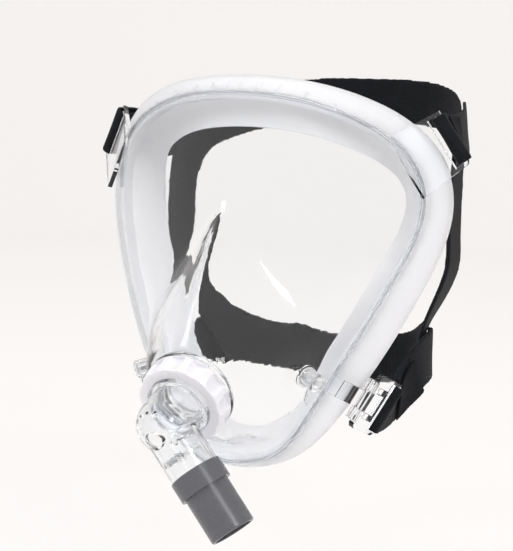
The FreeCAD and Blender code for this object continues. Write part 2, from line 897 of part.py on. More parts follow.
# Caps on the pressure ports: a cup with a pull tab
def port_cap(name, frame):
    body = new_body(name, frame)
    turned(body, "cup", [
        ("0", "nipple_length + 0.3"),
        ("nipple_r + running_gap", "nipple_length + 0.3"),
        ("nipple_r + running_gap", "0.95"),
        ("cap_r", "0.95"),
        ("cap_r", "2.4"),
        ("cap_r - 0.6", "3.2"),
        ("cap_r - 0.6", "nipple_length + 1.0"),
        ("cap_r - 1.4", "nipple_length + 1.8"),
        ("0", "nipple_length + 1.8"),
    ])
    tab = outline(body, "tab_outline", "XY_Plane", [
        ("3.8", "-3.4"), ("9.6", "-3.4"), ("11.8", "-1.4"), ("11.8", "1.4"), ("9.6", "3.4"), ("3.8", "3.4"),
    ])
    tab.AttachmentOffset = FreeCAD.Placement(V(0, 0, 6.2), FreeCAD.Rotation())
    padded(body, "tab", tab, "1.7")
    finish(body, name)


port_cap("port_cap_left", NIPPLE)
port_cap("port_cap_right", mirror_frame(NIPPLE, AXIS_X))


# Quick-release clips: a plate with snap jaws, a sprung tongue and a strap slot
CLIP_FACE = V(0.872, -0.281, -0.395)
CLIP = frame_on(HOOK_BAR, CLIP_FACE, HOOK_ALONG * -1)
CLIP_BAR_Y = 20.3


def clip(name, frame):
    body = new_body(name, frame)
    plate_outline = outline(body, "plate_outline", "XY_Plane", [
        ("-12.9", "2.4"), ("-14.6", "4.2"), ("-14.6", "20"), ("-13.2", "21.6"),
        ("13.2", "21.6"), ("14.6", "20"), ("14.6", "4.2"), ("12.9", "2.4"),
    ])
    padded(body, "plate", plate_outline, "3.2", centred=True)
    jaw = disc(body, "jaw_outline", "YZ_Plane", "0", "0", "3.1")
    padded(body, "jaw", jaw, "21.6", centred=True)
    middle = outline(body, "arm_gap_outline", "XY_Plane", [("-5", "-5"), ("5", "-5"), ("5", "4.4"), ("-5", "4.4")])
    pocketed(body, "arm_gap", middle, "20")
    grip = disc(body, "bar_hole_outline", "YZ_Plane", "0", "0", "1.66")
    pocketed(body, "bar_hole", grip, "60")
    mouth = outline(body, "mouth_outline", "YZ_Plane", [("-6", "-1.25"), ("0", "-1.25"), ("0", "1.25"), ("-6", "1.25")])
    pocketed(body, "mouth", mouth, "60")
    tongue = outline(body, "tongue_slot", "XY_Plane", [
        ("-8.6", "6.4"), ("-5.4", "6.4"), ("-5.4", "12.2"), ("5.4", "12.2"),
        ("5.4", "6.4"), ("8.6", "6.4"), ("8.6", "14.2"), ("-8.6", "14.2"),
    ])
    pocketed(body, "tongue", tongue, "20")
    slot = outline(body, "strap_slot", "XY_Plane", [("-13", "16.0"), ("13", "16.0"), ("13", "19.1"), ("-13", "19.1")])
    pocketed(body, "slot", slot, "20")
    finish(body, name)


clip("clip_left", CLIP)
clip("clip_right", mirror_frame(CLIP, AXIS_Y))


# The head that the headgear closes round: half width, half length, middle
def eased(t):
    t = max(0.0, min(1.0, t))
    return t * t * (3 - 2 * t)


def head_point(turn, z):
    low = eased((5 - z) / 50.0)
    crown = eased((z - 60) / 60.0)
    a = 77.5 - 18.5 * low - 8 * crown
    b = 84.0 - 24.0 * low - 8 * crown
    mid = 88.0 + 4.0 * low
    return V(a * math.cos(math.radians(turn)), mid + b * math.sin(math.radians(turn)), z)


def head(turn, z, out):
    across = head_point(turn + 1, z) - head_point(turn - 1, z)
    upward = head_point(turn, z + 1) - head_point(turn, z - 1)
    normal = across.cross(upward).normalize()
    return head_point(turn, z) + normal * out, normal


# Headgear yoke: one ring of padded fabric behind the head
YOKE = [(90, 82), (64, 81), (38, 76), (15, 64), (7, 40), (7, 10), (9, -18), (20, -42), (52, -54), (90, -58)]
YOKE_THICK = 2.0


def corner_cut(stations, rounds):
    # Rounds the corners of a line of (turn, height) stations.
    for _ in range(rounds):
        cut = [stations[0]]
        for (t0, z0), (t1, z1) in zip(stations, stations[1:]):
            cut.append((t0 * 0.75 + t1 * 0.25, z0 * 0.75 + z1 * 0.25))
            cut.append((t0 * 0.25 + t1 * 0.75, z0 * 0.25 + z1 * 0.75))
        stations = cut + [stations[-1]]
    return stations


def yoke():
    half = [head(turn, z, 0) for turn, z in corner_cut(YOKE, 2)]
    other = [(V(-p.x, p.y, p.z), V(-n.x, n.y, n.z)) for p, n in half[1:-1][::-1]]
    path = half + other
    across = []
    for k, (p, n) in enumerate(path):
        along = path[(k + 1) % len(path)][0] - path[k - 1][0]
        across.append(n.cross(along).normalize())
    reach = size("strap_width") * 0.5
    rings = []
    for side, out in ((-1, 0.0), (1, 0.0), (1, YOKE_THICK), (-1, YOKE_THICK)):
        rings.append([p + w * (side * reach) + n * out for (p, n), w in zip(path, across)])
    return loop_solid(rings)


feature("headgear_yoke", yoke())


# Straps: a loop of webbing round a bar, then a tail to the yoke
def open_surface(lines, degree_u):
    count = len(lines[0])
    spans = count - degree_u
    knots = list(range(spans + 1))
    mults = [degree_u + 1] + [1] * (spans - 1) + [degree_u + 1]
    poles = [[line[i] for line in lines] for i in range(count)]
    surface = Part.BSplineSurface()
    surface.buildFromPolesMultsKnots(poles, mults, [2, 2], knots, [0, 1], False, False, degree_u, 1)
    return surface


def ribbon(stations, width, thick):
    # Stations are middle point, direction of the width and outward face.
    corners = []
    for side, out in ((-1, -1), (1, -1), (1, 1), (-1, 1)):
        corners.append([p + w * (side * width / 2) + n * (out * thick / 2) for p, w, n in stations])
    faces = [open_surface([a, b], 3).toShape() for a, b in zip(corners, corners[1:] + corners[:1])]
    for end in (0, -1):
        loop = [c[end] for c in corners]
        faces.append(open_surface([[loop[0], loop[1]], [loop[3], loop[2]]], 1).toShape())
    joined = Part.Shell(faces)
    joined.sewShape()
    solid = Part.Solid(Part.Shell(joined.Faces))
    if solid.Volume < 0:
        solid.reverse()
    return solid


def strap_path(bar, along, leg, face, clear, places):
    # Stations from the bar to the yoke: a smooth bend, then points laid on the head.
    thick = size("strap_thick")
    start = bar - face * (clear + thick / 2)
    laid = []
    for turn, z, out in places:
        p, n = head(turn, z, out)
        laid.append((p, n))
    end, last_face = laid[0]
    onward = (laid[1][0] - end).normalize()
    last_width = onward.cross(last_face).normalize()
    if last_width.dot(along) < 0:
        last_width = last_width * -1
    reach = (end - start).Length
    one = start + leg * (0.4 * reach)
    two = end - onward * (0.35 * reach)
    stations = []
    for k in range(8):
        t = k / 7.0
        q = 1 - t
        p = start * q ** 3 + one * (3 * q * q * t) + two * (3 * q * t * t) + end * t ** 3
        ahead = (one - start) * (q * q) + (two - one) * (2 * q * t) + (end - two) * (t * t)
        ahead = ahead.normalize()
        n = between(face, last_face, eased(t))
        w = between(along, last_width, eased(t))
        w = (w - ahead * w.dot(ahead)).normalize()
        side = ahead.cross(w)
        if side.dot(n) < 0:
            side = side * -1
        stations.append((p, w, side))
    for p, n in laid[1:]:
        w = (last_width - n * last_width.dot(n)).normalize()
        stations.append((p, w, n))
    return stations


def webbing(bar, leg, face, clear, path, layers):
    # One length of webbing: the doubled-back end, the turn round the bar, then the run to the yoke.
    thick = size("strap_thick")
    w = path[0][1]
    stations = outer_layer(path, clear, layers, 0.0)[::-1]
    for k in range(1, 8):
        turn = math.radians(22.5 * k)
        n = face * math.cos(turn) - leg * math.sin(turn)
        stations.append((bar + n * (clear + thick / 2), w, n))
    stations += [(p, w, n * -1) for p, w, n in path]
    return ribbon(stations, size("strap_width"), thick)


def outer_layer(path, clear, layers, lift):
    # The layer over the strap: it starts across the bar and closes down onto the strap.
    thick = size("strap_thick")
    found = []
    for k in range(layers):
        drop = eased(k / 3.0)
        gap = (2 * clear + thick) * (1 - drop) + (thick + 0.25) * drop
        p, w, n = path[k]
        found.append((p + n * (gap + lift), w, n))
    return found


def hook_tab(path, clear, layers):
    thick = size("strap_thick")
    stations = outer_layer(path, clear, layers, thick / 2 + 1.2)[-4:]
    return ribbon(stations, size("strap_width") - 3, 1.2)


SEWN = YOKE_THICK + size("strap_thick") / 2 + size("soft_gap")
UPPER_BAR = EAR.multVec(V(0, EAR_REACH + 0.05, 0))
LOWER_BAR = CLIP.multVec(V(0, CLIP_BAR_Y, 0))


def strap_set(level, bar, along, toward, clear, places, layers):
    along = V(along).normalize()
    leg = (toward - along * toward.dot(along)).normalize()
    face = leg.cross(along)
    if face.x < 0:
        face = face * -1
    path = strap_path(bar, along, leg, face, clear, places)
    strap = webbing(bar, leg, face, clear, path, layers)
    tab = hook_tab(path, clear, layers)
    feature(level + "_strap_left", strap)
    feature(level + "_strap_right", mirrored(strap))
    feature(level + "_hook_tab_left", tab)
    feature(level + "_hook_tab_right", mirrored(tab))


UPPER_PLACES = [(4, 63, SEWN + 1.1), (11, 64.5, SEWN + 0.8), (18, 66.5, SEWN + 0.6), (25, 69, SEWN + 0.4)]
strap_set("upper", UPPER_BAR, EAR_ALONG, V(-0.31, 0.945, 0.106), 2.2, UPPER_PLACES, 6)
LOWER_PLACES = [(2, -49, SEWN + 3.2), (11, -47, SEWN + 3.6), (20, -46, SEWN + 3.1), (29, -47, SEWN + 1.6)]
strap_set("lower", LOWER_BAR, HOOK_ALONG, V(0.05, 0.97, 0.05), 2.4, LOWER_PLACES, 6)

doc.recompute()
for obj in doc.Objects:
    wrong = [w for w in obj.State if w in ("Invalid", "Error")]
    if wrong:
        raise RuntimeError("%s is %s" % (obj.Name, wrong))
os.makedirs("parts", exist_ok=True)
for obj in parts:
    shape = obj.Shape
    if shape.isNull() or not shape.isValid() or not shape.Solids:
        raise RuntimeError("%s has no valid solid" % obj.Label)
    shape.exportStep("parts/%s.step" % obj.Label)
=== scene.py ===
import json
import math

import bmesh
import bpy
from mathutils import Matrix, Vector, noise

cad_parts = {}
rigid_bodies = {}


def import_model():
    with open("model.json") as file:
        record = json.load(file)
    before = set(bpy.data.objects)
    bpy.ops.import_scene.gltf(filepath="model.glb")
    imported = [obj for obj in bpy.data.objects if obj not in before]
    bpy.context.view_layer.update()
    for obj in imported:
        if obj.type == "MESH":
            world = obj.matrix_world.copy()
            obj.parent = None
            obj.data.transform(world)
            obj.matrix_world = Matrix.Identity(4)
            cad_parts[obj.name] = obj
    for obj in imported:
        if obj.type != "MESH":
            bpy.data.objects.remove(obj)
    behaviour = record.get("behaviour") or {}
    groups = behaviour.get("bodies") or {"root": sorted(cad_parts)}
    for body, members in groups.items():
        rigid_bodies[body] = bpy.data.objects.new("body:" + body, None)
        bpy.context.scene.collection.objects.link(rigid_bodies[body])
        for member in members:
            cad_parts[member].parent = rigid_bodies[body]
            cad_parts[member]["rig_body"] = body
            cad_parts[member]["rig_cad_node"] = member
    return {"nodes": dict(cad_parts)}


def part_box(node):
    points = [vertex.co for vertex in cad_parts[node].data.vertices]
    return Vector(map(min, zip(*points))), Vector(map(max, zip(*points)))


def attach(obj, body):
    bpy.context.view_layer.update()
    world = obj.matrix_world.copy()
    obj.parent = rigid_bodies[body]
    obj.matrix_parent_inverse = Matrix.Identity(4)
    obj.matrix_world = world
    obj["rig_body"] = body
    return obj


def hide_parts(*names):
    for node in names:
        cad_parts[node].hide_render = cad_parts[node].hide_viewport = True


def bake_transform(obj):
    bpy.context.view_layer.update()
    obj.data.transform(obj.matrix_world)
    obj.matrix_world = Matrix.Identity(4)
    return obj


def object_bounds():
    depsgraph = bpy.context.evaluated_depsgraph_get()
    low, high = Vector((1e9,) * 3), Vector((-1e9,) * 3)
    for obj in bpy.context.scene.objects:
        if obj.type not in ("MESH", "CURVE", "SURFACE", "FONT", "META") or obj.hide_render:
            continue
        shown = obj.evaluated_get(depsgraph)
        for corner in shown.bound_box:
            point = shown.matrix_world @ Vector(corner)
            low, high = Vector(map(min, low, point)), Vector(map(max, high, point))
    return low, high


bl_info = {
    "name": "Full Face Mask Looks",
    "version": (1, 0, 0),
    "blender": (4, 5, 0),
    "location": "3D View > Sidebar > Face Mask",
    "description": "Dresses a wrap-around breathing mask with its plastics, silicone and webbing",
    "category": "Object",
}

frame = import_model()
CAD_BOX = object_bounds()
NODES = frame["nodes"]
BODY = {n: o["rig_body"] for n, o in NODES.items()}

MM = 0.001
# Distances of the rim notches from the cushion's middle line, in millimetres
NOTCH_PLACES = (3.0, 12.0, 22.0, 35.0, 48.0, 59.0, 70.0)
NOTCH_BELOW_RIM = 3
# A notch leans outwards by this share of its distance over a height, both in millimetres
NOTCH_LEAN = 0.8
NOTCH_LEAN_HEIGHT = 90.0
NOTCH_STAND = 0.7
NOTCH_EDGE = 0.00018
# Height of the rim in the middle, in metres, and how far it falls with the square and with the
# fourth power of the distance from the middle, in millimetres
RIM_TOP = 0.0905
RIM_FALL = 0.0000031
RIM_FALL_FAR = 0.00000000055
IN_FRONT = -0.2
# A wave texture has about this many bands to a unit at a scale of 1
WAVE_BANDS = 3.2
# Name, place, size and power of each soft lamp
LAMPS = (
    ("key", (-0.7, -1.1, 1.0), 0.7, 7.0),
    ("fill", (1.1, -0.8, 0.6), 0.4, 6.5),
    ("top", (0.1, 0.2, 1.4), 1.0, 6.0),
)
LAMP_AIM = Vector((0, 0.03, 0))
FLOOR_SIZE = 8.0
FLOOR_DROP = 0.03
FLOOR_FORWARD = 1.5
# How near to the floor's far side, and to its height, an edge lies that counts as there
FLOOR_NEAR = 0.1
BACKDROP_HEIGHT = 4.0
BACKDROP_BEND = 1.5
BACKDROP_GLOW = 0.78
WORLD_LIGHT = 0.7
# How far the camera aims to the right of the mask's origin, and below it
AIM_RIGHT = 0.0147
AIM_DOWN = 0.0035


# Sizes and colours
class PlasticSettings(bpy.types.PropertyGroup):
    clear_tint: bpy.props.FloatVectorProperty(
        name="Clear plastic tint", description="Colour that the clear moulding passes",
        default=(0.965, 0.975, 0.985), subtype="COLOR", size=3, min=0.0, max=1.0)
    clear_ior: bpy.props.FloatProperty(
        name="Clear plastic bending", description="Refractive index of the clear moulding",
        default=1.4, min=1.0, max=2.0)
    clear_roughness: bpy.props.FloatProperty(
        name="Clear plastic roughness", description="Polish of the clear moulding",
        default=0.03, min=0.0, max=1.0, subtype="FACTOR")
    elbow_roughness: bpy.props.FloatProperty(
        name="Elbow roughness", description="Polish of the elbow, a little duller than the visor",
        default=0.09, min=0.0, max=1.0, subtype="FACTOR")
    grey_colour: bpy.props.FloatVectorProperty(
        name="Connector grey", description="Colour of the hose connector",
        default=(0.098, 0.1, 0.113), subtype="COLOR", size=3, min=0.0, max=1.0)
    milky_colour: bpy.props.FloatVectorProperty(
        name="Ring white", description="Colour of the milky locking ring",
        default=(0.79, 0.78, 0.82), subtype="COLOR", size=3, min=0.0, max=1.0)


class SiliconeSettings(bpy.types.PropertyGroup):
    frost_colour: bpy.props.FloatVectorProperty(
        name="Frosted colour", description="Colour of the frosted cushion",
        default=(0.95, 0.945, 0.96), subtype="COLOR", size=3, min=0.0, max=1.0)
    frost_roughness: bpy.props.FloatProperty(
        name="Frosted roughness", description="How far the cushion blurs what is behind it",
        default=0.5, min=0.0, max=1.0, subtype="FACTOR")
    notch_width: bpy.props.FloatProperty(
        name="Notch width", description="Width of each notch along the rim",
        default=0.0011, min=0.0002, max=0.01, unit="LENGTH", precision=4)
    notch_length: bpy.props.FloatProperty(
        name="Notch length", description="Length of each notch across the rim",
        default=0.0042, min=0.0005, max=0.02, unit="LENGTH", precision=4)


class WebbingSettings(bpy.types.PropertyGroup):
    black_colour: bpy.props.FloatVectorProperty(
        name="Webbing black", description="Colour of the straps",
        default=(0.006, 0.0065, 0.008), subtype="COLOR", size=3, min=0.0, max=1.0)
    weave_pitch: bpy.props.FloatProperty(
        name="Weave pitch", description="Distance from one rib of the weave to the next",
        default=0.0011, min=0.0002, max=0.01, unit="LENGTH", precision=5)


class StageSettings(bpy.types.PropertyGroup):
    backdrop_colour: bpy.props.FloatVectorProperty(
        name="Backdrop", description="Colour of the floor and backdrop",
        default=(0.98, 0.957, 0.941), subtype="COLOR", size=3, min=0.0, max=1.0)
    camera_turn: bpy.props.FloatProperty(
        name="Camera turn", description="Turn of the camera round the mask",
        default=math.radians(27.0), subtype="ANGLE")
    camera_height: bpy.props.FloatProperty(
        name="Camera height", description="Angle of the camera above the horizon",
        default=math.radians(4.2), subtype="ANGLE")
    camera_roll: bpy.props.FloatProperty(
        name="Camera roll", description="Roll of the camera",
        default=math.radians(1.0), subtype="ANGLE")
    camera_distance: bpy.props.FloatProperty(
        name="Camera distance", description="Distance from the camera to the mask's origin",
        default=1.0, min=0.1, max=10.0, unit="LENGTH")
    camera_lens: bpy.props.FloatProperty(
        name="Lens", description="Focal length on a 36 mm frame", default=137.2, min=10.0, max=500.0)


# Shared steps
def only(*objects):
    bpy.ops.object.select_all(action="DESELECT")
    for o in objects:
        o.select_set(True)
    bpy.context.view_layer.objects.active = objects[0]


def merged_copy(node, name):
    # A copy of a solid with its corners joined, so that it can be smoothed and finished.
    only(NODES[node])
    bpy.ops.object.duplicate()
    piece = bpy.context.view_layer.objects.active
    piece.parent = None
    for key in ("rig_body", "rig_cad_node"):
        if key in piece:
            del piece[key]
    piece.name = name
    piece.data.name = name
    only(piece)
    bpy.ops.mesh.customdata_custom_splitnormals_clear()
    bpy.ops.object.mode_set(mode="EDIT")
    bpy.ops.mesh.select_all(action="SELECT")
    bpy.ops.mesh.remove_doubles(threshold=0.00001)
    bpy.ops.object.mode_set(mode="OBJECT")
    return piece


def smooth(piece, angle=35.0):
    only(piece)
    bpy.ops.object.shade_smooth_by_angle(angle=math.radians(angle))


def apply_modifier(piece, kind, **values):
    only(piece)
    m = piece.modifiers.new(kind.title(), kind)
    for k, v in values.items():
        setattr(m, k, v)
    bpy.ops.object.modifier_apply(modifier=m.name)


def dress(piece, material, node, bend=None):
    piece.data.materials.clear()
    piece.data.materials.append(material)
    if bend:
        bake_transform(piece)
    else:
        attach(piece, BODY[node])
    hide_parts(node)


# Materials
def new_material(name):
    m = bpy.data.materials.new(name)
    m.use_nodes = True
    tree = m.node_tree
    tree.nodes.clear()
    out = tree.nodes.new("ShaderNodeOutputMaterial")
    return m, tree, out


def add(tree, kind, **inputs):
    n = tree.nodes.new(kind)
    for k, v in inputs.items():
        n.inputs[k.replace("_", " ")].default_value = v
    return n


def noise_of(tree, scale, detail=3.0):
    coord = tree.nodes.new("ShaderNodeTexCoord")
    tex = add(tree, "ShaderNodeTexNoise", Scale=scale, Detail=detail)
    tree.links.new(coord.outputs["Object"], tex.inputs["Vector"])
    return tex


def ranged(tree, source, low, high):
    r = tree.nodes.new("ShaderNodeMapRange")
    r.inputs["From Min"].default_value = 0.3
    r.inputs["From Max"].default_value = 0.7
    r.inputs["To Min"].default_value = low
    r.inputs["To Max"].default_value = high
    tree.links.new(source, r.inputs["Value"])
    return r.outputs["Result"]


def bumped(tree, source, strength, distance):
    b = add(tree, "ShaderNodeBump", Strength=strength, Distance=distance)
    tree.links.new(source, b.inputs["Height"])
    return b.outputs["Normal"]


def rough_by_noise(tree, shader, scale, low, high):
    polish = ranged(tree, noise_of(tree, scale).outputs["Fac"], low, high)
    tree.links.new(polish, shader.inputs["Roughness"])


def grained(tree, shader, scale, strength, distance, detail=3.0):
    height = noise_of(tree, scale, detail).outputs["Fac"]
    tree.links.new(bumped(tree, height, strength, distance), shader.inputs["Normal"])


def two_tones(tree, first, second, scale):
    tone = tree.nodes.new("ShaderNodeMix")
    tone.data_type = "RGBA"
    tone.inputs["A"].default_value = (*first, 1)
    tone.inputs["B"].default_value = (*second, 1)
    tree.links.new(noise_of(tree, scale).outputs["Fac"], tone.inputs["Factor"])
    return tone.outputs["Result"]


def seen_directly(tree):
    # 1 for what the camera, a gloss or clear plastic shows, 0 for light on the object.
    path = tree.nodes.new("ShaderNodeLightPath")
    found = path.outputs["Is Camera Ray"]
    for name in ("Is Glossy Ray", "Is Transmission Ray"):
        most = tree.nodes.new("ShaderNodeMath")
        most.operation = "MAXIMUM"
        tree.links.new(found, most.inputs[0])
        tree.links.new(path.outputs[name], most.inputs[1])
        found = most.outputs[0]
    return found


def lamps_pass(tree, out, shader, tint):
    # Light from the lamps passes through clear pieces to what lies behind them.
    path = tree.nodes.new("ShaderNodeLightPath")
    clear = add(tree, "ShaderNodeBsdfTransparent", Color=(*tint, 1))
    mix = tree.nodes.new("ShaderNodeMixShader")
    tree.links.new(path.outputs["Is Shadow Ray"], mix.inputs["Fac"])
    tree.links.new(shader.outputs[0], mix.inputs[1])
    tree.links.new(clear.outputs[0], mix.inputs[2])
    tree.links.new(mix.outputs[0], out.inputs["Surface"])


def clear_plastic(settings, name="clear_plastic", roughness=None):
    m, tree, out = new_material(name)
    rough = settings.clear_roughness if roughness is None else roughness
    p = add(tree, "ShaderNodeBsdfPrincipled", IOR=settings.clear_ior, Transmission_Weight=1.0)
    p.inputs["Base Color"].default_value = (*settings.clear_tint, 1)
    rough_by_noise(tree, p, scale=60.0, low=rough * 0.5, high=rough * 1.6)
    grained(tree, p, scale=25.0, strength=0.02, distance=0.001, detail=1.0)
    lamps_pass(tree, out, p, (0.93, 0.94, 0.95))
    return m


def frosted_silicone(settings, name="frosted_silicone", colour=None, roughness=None, clearness=0.5):
    m, tree, out = new_material(name)
    rough = settings.frost_roughness if roughness is None else roughness
    tone = settings.frost_colour if colour is None else colour
    p = add(tree, "ShaderNodeBsdfPrincipled", IOR=1.41, Transmission_Weight=clearness)
    p.inputs["Base Color"].default_value = (*tone, 1)
    p.inputs["Subsurface Weight"].default_value = 0.6
    p.inputs["Subsurface Radius"].default_value = (1, 1, 1)
    p.inputs["Subsurface Scale"].default_value = 0.012
    p.inputs["Specular IOR Level"].default_value = 0.4
    rough_by_noise(tree, p, scale=90.0, low=rough - 0.06, high=rough + 0.06)
    grained(tree, p, scale=900.0, strength=0.12, distance=0.0004, detail=2.0)
    lamps_pass(tree, out, p, (0.6, 0.61, 0.63))
    return m


def milky_plastic(settings):
    m, tree, out = new_material("milky_plastic")
    p = add(tree, "ShaderNodeBsdfPrincipled", IOR=1.5)
    p.inputs["Subsurface Weight"].default_value = 0.3
    p.inputs["Subsurface Radius"].default_value = (1, 1, 1)
    p.inputs["Subsurface Scale"].default_value = 0.003
    p.inputs["Base Color"].default_value = (*settings.milky_colour, 1)
    rough_by_noise(tree, p, scale=120.0, low=0.24, high=0.38)
    grained(tree, p, scale=700.0, strength=0.06, distance=0.0003)
    tree.links.new(p.outputs[0], out.inputs["Surface"])
    return m


def grey_plastic(settings):
    m, tree, out = new_material("grey_plastic")
    p = add(tree, "ShaderNodeBsdfPrincipled", IOR=1.5)
    darker = [c * 0.92 for c in settings.grey_colour]
    tone = two_tones(tree, darker, settings.grey_colour, scale=45.0)
    tree.links.new(tone, p.inputs["Base Color"])
    rough_by_noise(tree, p, scale=160.0, low=0.2, high=0.3)
    grained(tree, p, scale=1800.0, strength=0.1, distance=0.0003)
    tree.links.new(p.outputs[0], out.inputs["Surface"])
    return m


def steel_pin():
    m, tree, out = new_material("steel_pin")
    p = add(tree, "ShaderNodeBsdfPrincipled", Metallic=1.0)
    p.inputs["Base Color"].default_value = (0.62, 0.63, 0.65, 1)
    rough_by_noise(tree, p, scale=900.0, low=0.22, high=0.36)
    tree.links.new(p.outputs[0], out.inputs["Surface"])
    return m


def black_webbing(settings, name, pitch, depth, roughness):
    m, tree, out = new_material(name)
    p = add(tree, "ShaderNodeBsdfPrincipled", Roughness=roughness)
    p.inputs["Sheen Weight"].default_value = 0.02
    p.inputs["Specular IOR Level"].default_value = 0.07
    p.inputs["Sheen Roughness"].default_value = 0.4
    coord = tree.nodes.new("ShaderNodeTexCoord")
    ribs = tree.nodes.new("ShaderNodeTexWave")
    ribs.bands_direction = "Y"
    ribs.inputs["Scale"].default_value = 1.0 / (pitch * WAVE_BANDS)
    ribs.inputs["Distortion"].default_value = 0.6
    ribs.inputs["Detail Scale"].default_value = 2.0
    tree.links.new(coord.outputs["Object"], ribs.inputs["Vector"])
    warp = tree.nodes.new("ShaderNodeTexWave")
    warp.bands_direction = "Z"
    warp.inputs["Scale"].default_value = 1.0 / (pitch * WAVE_BANDS)
    tree.links.new(coord.outputs["Object"], warp.inputs["Vector"])
    both = tree.nodes.new("ShaderNodeMath")
    both.operation = "MULTIPLY"
    tree.links.new(ribs.outputs["Fac"], both.inputs[0])
    tree.links.new(warp.outputs["Fac"], both.inputs[1])
    weave = bumped(tree, both.outputs[0], strength=0.5, distance=depth)
    tree.links.new(weave, p.inputs["Normal"])
    worn = [c * 2.2 for c in settings.black_colour]
    tone = two_tones(tree, settings.black_colour, worn, scale=150.0)
    tree.links.new(tone, p.inputs["Base Color"])
    tree.links.new(p.outputs[0], out.inputs["Surface"])
    return m


def soft_shape(piece, voxel, amount, scale, seed):
    # Rounds a strap or pad and gives it the small waves of worn fabric.
    apply_modifier(piece, "REMESH", mode="VOXEL", voxel_size=voxel, use_smooth_shade=True)
    apply_modifier(piece, "SMOOTH", factor=0.5, iterations=3)
    start = Vector((seed, seed * 0.5, -seed))
    facing = [v.normal.copy() for v in piece.data.vertices]
    for v, n in zip(piece.data.vertices, facing):
        v.co = v.co + n * (noise.noise(v.co * scale + start) * amount)
    only(piece)
    bpy.ops.object.shade_smooth()


def rim_height(across):
    # Height of the cushion's outer rim, in metres, at a distance across in millimetres.
    return RIM_TOP - RIM_FALL * across ** 2 - RIM_FALL_FAR * across ** 4


def strap_bend(side):
    # The bodies and points between which a lower strap would bend as its clip swings; a strap given
    # them is only left unattached to any body.
    low, high = (Vector(c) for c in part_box(f"clip_{side}"))
    clip = (low + high) / 2
    tab = [v.co for v in NODES[f"lower_hook_tab_{side}"].data.vertices]
    far = max(tab, key=lambda p: (p - clip).length)
    along = (far - clip).normalized()
    return f"clip_{side}", "mask", clip + along * 0.012, far + along * 0.004


# Pieces
class MASK_OT_clear_mouldings(bpy.types.Operator):
    """Dress the visor, elbow, clips and valve flap in clear plastic"""

    bl_idname = "mask.clear_mouldings"
    bl_label = "Clear mouldings"

    def execute(self, context):
        settings = context.scene.mask_plastic
        clear = clear_plastic(settings)
        dull = clear_plastic(settings, "elbow_plastic", settings.elbow_roughness)
        for node, name in (
            ("faceplate", "visor"), ("elbow", "elbow_shell"),
            ("clip_left", "clip_shell_left"), ("clip_right", "clip_shell_right"),
        ):
            piece = merged_copy(node, name)
            smooth(piece)
            dress(piece, dull if node == "elbow" else clear, node)
        silicone = context.scene.mask_silicone
        soft = frosted_silicone(
            silicone, "clear_silicone", colour=(0.95, 0.955, 0.965), roughness=0.14, clearness=0.95)
        for node, name in (
            ("valve_flap", "flap"), ("port_cap_left", "plug_left"), ("port_cap_right", "plug_right"),
            ("port_seal", "seal"),
        ):
            piece = merged_copy(node, name)
            smooth(piece)
            dress(piece, soft, node)
        return {"FINISHED"}


class MASK_OT_cushion(bpy.types.Operator):
    """Make the frosted silicone cushion and its retaining ring"""

    bl_idname = "mask.cushion"
    bl_label = "Cushion"

    def execute(self, context):
        frost = frosted_silicone(context.scene.mask_silicone)
        piece = merged_copy("face_cushion", "cushion_silicone")
        smooth(piece, 50.0)
        dress(piece, frost, "face_cushion")
        ring = merged_copy("cushion_retainer", "retainer_ring")
        smooth(ring, 50.0)
        dress(ring, frost, "cushion_retainer")
        return {"FINISHED"}


class MASK_OT_rim_notches(bpy.types.Operator):
    """Add the small interlocking notches along the top of the cushion"""

    bl_idname = "mask.rim_notches"
    bl_label = "Rim notches"

    def execute(self, context):
        cushion = bpy.data.objects["cushion_silicone"]
        settings = context.scene.mask_silicone
        frost = frosted_silicone(
            settings, "notch_silicone", colour=(0.9, 0.9, 0.93), roughness=0.3, clearness=0.2)
        notches = []
        for x in NOTCH_PLACES:
            for side in (1, -1):
                lift = rim_height(x)
                before = Vector((side * x * MM, IN_FRONT, lift - NOTCH_BELOW_RIM * MM))
                hit, place, facing, _ = cushion.ray_cast(before, Vector((0, 1, 0)))
                if not hit:
                    raise RuntimeError("no cushion in front of a rim notch")
                out = Vector((side * x * NOTCH_LEAN, 0, NOTCH_LEAN_HEIGHT)).normalized()
                out = (out - facing * out.dot(facing)).normalized()
                bpy.ops.object.select_all(action="DESELECT")
                bpy.ops.mesh.primitive_cube_add(size=MM)
                notch = context.view_layer.objects.active
                bpy.ops.object.mode_set(mode="EDIT")
                bpy.ops.mesh.select_all(action="SELECT")
                wide, long = settings.notch_width / MM, settings.notch_length / MM
                bpy.ops.transform.resize(value=(wide, long, NOTCH_STAND))
                bpy.ops.mesh.bevel(offset=NOTCH_EDGE, segments=2)
                bpy.ops.object.mode_set(mode="OBJECT")
                across = out.cross(facing)
                turn = Matrix((across, out, facing)).transposed()
                notch.matrix_world = Matrix.Translation(place) @ turn.to_4x4()
                notches.append(notch)
        only(*notches)
        bpy.ops.object.join()
        piece = context.view_layer.objects.active
        piece.name = "rim_notches"
        bpy.ops.object.transform_apply(location=True, rotation=True, scale=True)
        bpy.ops.object.mode_set(mode="EDIT")
        bpy.ops.mesh.select_all(action="SELECT")
        bpy.ops.mesh.normals_make_consistent(inside=False)
        bpy.ops.object.mode_set(mode="OBJECT")
        smooth(piece)
        piece.data.materials.append(frost)
        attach(piece, BODY["face_cushion"])
        return {"FINISHED"}


class MASK_OT_hard_fittings(bpy.types.Operator):
    """Dress the locking ring, hose connector and valve pin"""

    bl_idname = "mask.hard_fittings"
    bl_label = "Ring, connector and pin"

    def execute(self, context):
        settings = context.scene.mask_plastic
        for node, name, material, slot in (
            ("lock_ring", "ring_grip", milky_plastic(settings), "milky_plastic"),
            ("tube_connector", "connector_grey", grey_plastic(settings), "grey_plastic"),
            ("valve_pin", "pin", steel_pin(), "steel_pin"),
        ):
            piece = merged_copy(node, name)
            smooth(piece)
            dress(piece, material, node)
        return {"FINISHED"}


